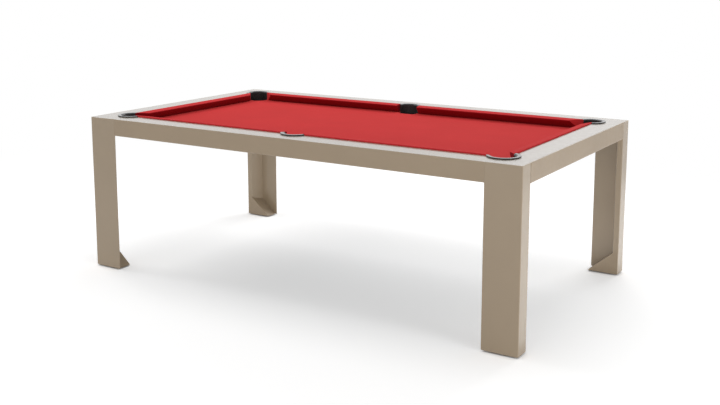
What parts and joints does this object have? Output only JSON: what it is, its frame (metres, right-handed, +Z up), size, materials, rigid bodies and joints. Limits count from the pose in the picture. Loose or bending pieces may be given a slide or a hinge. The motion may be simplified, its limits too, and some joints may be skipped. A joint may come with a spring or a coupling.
{
  "type": "pool table",
  "caption": "Freestanding pool table: slate bed and cloth in a sheet-steel frame on folded legs, with cushions, lined drop pockets and screw-in levelling feet.",
  "frame": {"origin": "on the floor under the middle of the table", "axes": "+X along the table, +Y from the front long side to the back one, +Z up"},
  "size_m": [2.32, 1.32, 0.776],
  "materials": {
    "frame_paint": "satin",
    "rail_paint": "satin",
    "dark_steel": "matte",
    "zinc_steel": "satin",
    "black_rubber": "matte",
    "black_leather": "satin",
    "red_cloth": "matte",
    "slate": "matte",
    "beech": "matte"
  },
  "bodies": {
    "table": {"leg_front_left": "frame_paint", "foot_box_front_left": "frame_paint", "foot_nut_front_left": "zinc_steel", "corner_bracket_front_left": "dark_steel", "pocket_liner_front_left": "black_leather", "pocket_cup_front_left": "black_rubber", "leg_front_right": "frame_paint", "foot_box_front_right": "frame_paint", "foot_nut_front_right": "zinc_steel", "corner_bracket_front_right": "dark_steel", "pocket_liner_front_right": "black_leather", "pocket_cup_front_right": "black_rubber", "leg_back_right": "frame_paint", "foot_box_back_right": "frame_paint", "foot_nut_back_right": "zinc_steel", "corner_bracket_back_right": "dark_steel", "pocket_liner_back_right": "black_leather", "pocket_cup_back_right": "black_rubber", "leg_back_left": "frame_paint", "foot_box_back_left": "frame_paint", "foot_nut_back_left": "zinc_steel", "corner_bracket_back_left": "dark_steel", "pocket_liner_back_left": "black_leather", "pocket_cup_back_left": "black_rubber", "apron_front": "frame_paint", "top_rail_front": "rail_paint", "apron_right": "frame_paint", "top_rail_right": "rail_paint", "apron_back": "frame_paint", "top_rail_back": "rail_paint", "apron_left": "frame_paint", "top_rail_left": "rail_paint", "cushion_front_left": "red_cloth", "rail_block_front_left": "beech", "cushion_front_right": "red_cloth", "rail_block_front_right": "beech", "cushion_right": "red_cloth", "rail_block_right": "beech", "cushion_back_right": "red_cloth", "rail_block_back_right": "beech", "cushion_back_left": "red_cloth", "rail_block_back_left": "beech", "cushion_left": "red_cloth", "rail_block_left": "beech", "pocket_liner_middle_front": "black_leather", "pocket_cup_middle_front": "black_rubber", "pocket_liner_middle_back": "black_leather", "pocket_cup_middle_back": "black_rubber", "slate_bed": "slate", "bed_cloth": "red_cloth", "cross_beam_1": "dark_steel", "cross_beam_2": "dark_steel", "cross_beam_3": "dark_steel", "cross_beam_4": "dark_steel", "cross_beam_5": "dark_steel", "cross_beam_6": "dark_steel"},
    "foot_front_left": {"levelling_foot_front_left": "black_rubber"},
    "foot_front_right": {"levelling_foot_front_right": "black_rubber"},
    "foot_back_right": {"levelling_foot_back_right": "black_rubber"},
    "foot_back_left": {"levelling_foot_back_left": "black_rubber"}
  },
  "joints": [
    {"name": "foot_screw_front_left", "type": "slide", "parent": "table", "child": "foot_front_left", "axis": [0, 0, 1], "range_m": [-0.012, 0]},
    {"name": "foot_screw_front_right", "type": "slide", "parent": "table", "child": "foot_front_right", "axis": [0, 0, 1], "range_m": [-0.012, 0]},
    {"name": "foot_screw_back_right", "type": "slide", "parent": "table", "child": "foot_back_right", "axis": [0, 0, 1], "range_m": [-0.012, 0]},
    {"name": "foot_screw_back_left", "type": "slide", "parent": "table", "child": "foot_back_left", "axis": [0, 0, 1], "range_m": [-0.012, 0]}
  ]
}
